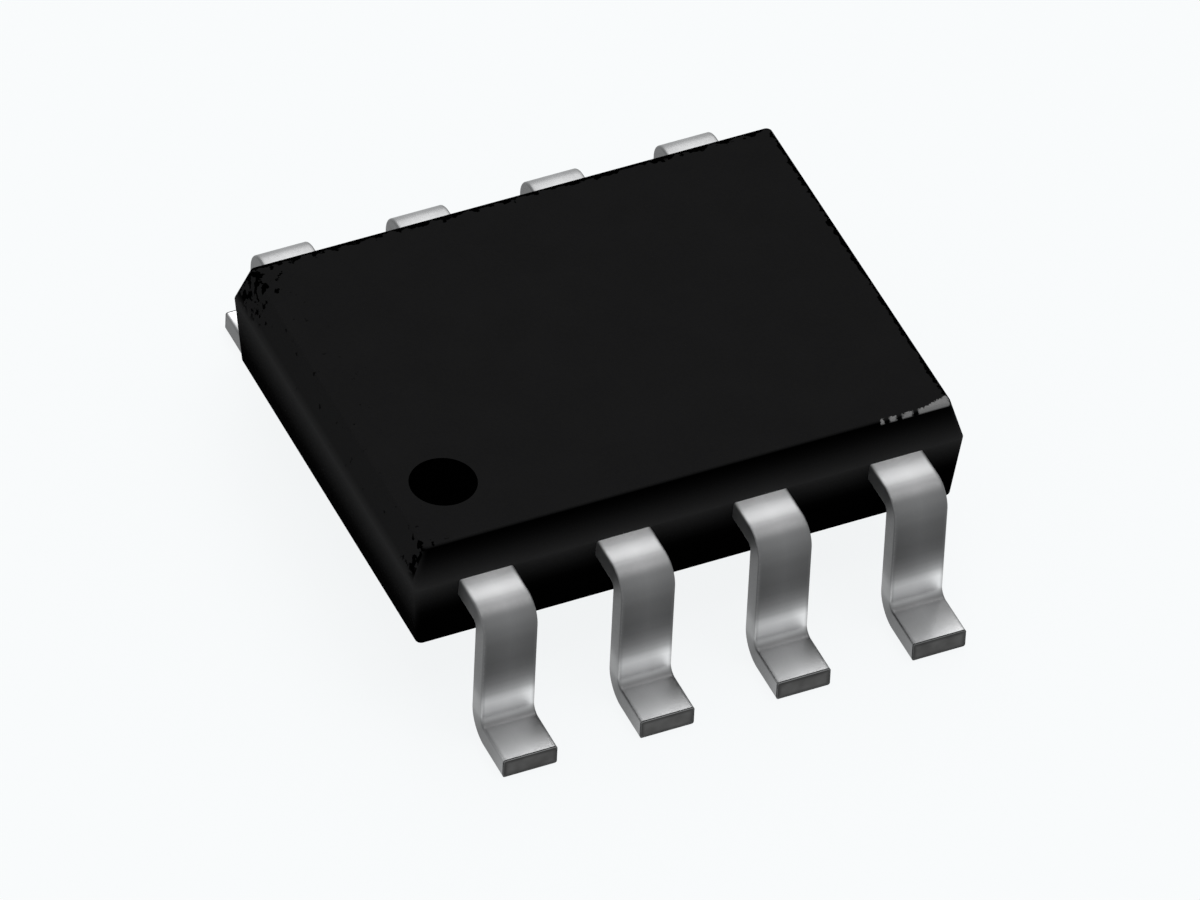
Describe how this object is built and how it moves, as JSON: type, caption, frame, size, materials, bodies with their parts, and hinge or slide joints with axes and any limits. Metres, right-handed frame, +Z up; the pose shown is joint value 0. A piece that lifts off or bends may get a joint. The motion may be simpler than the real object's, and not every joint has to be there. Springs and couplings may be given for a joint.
{
  "type": "surface-mount integrated circuit",
  "caption": "Small-outline integrated circuit: black moulded body with a dimple by the first lead and a row of gull-wing leads along each long side.",
  "frame": {"origin": "on the seating plane of the feet, under the middle of the body", "axes": "+X along the rows of leads, from the dimple's end; -Y is the side of leads 1 to 4; +Z up, out of the top face"},
  "size_m": [0.0052, 0.006, 0.0018],
  "materials": {
    "mould_compound": "black silica-filled epoxy, fine matt spark-eroded texture",
    "tinned_lead": "matt tin plating over copper alloy, with fine drawn lines",
    "copper_frame": "bare copper alloy sheet, satin",
    "silver_glue": "cured silver-filled epoxy",
    "silicon": "polished silicon, sawn edges",
    "gold_wire": "bright drawn gold"
  },
  "bodies": {
    "root": {"package_body": "mould_compound", "lead_1": "tinned_lead", "lead_2": "tinned_lead", "lead_3": "tinned_lead", "lead_4": "tinned_lead", "lead_5": "tinned_lead", "lead_6": "tinned_lead", "lead_7": "tinned_lead", "lead_8": "tinned_lead", "die_paddle": "copper_frame", "die_attach": "silver_glue", "die": "silicon", "bond_wire_1": "gold_wire", "bond_wire_2": "gold_wire", "bond_wire_3": "gold_wire", "bond_wire_4": "gold_wire", "bond_wire_5": "gold_wire", "bond_wire_6": "gold_wire", "bond_wire_7": "gold_wire", "bond_wire_8": "gold_wire"}
  },
  "joints": []
}
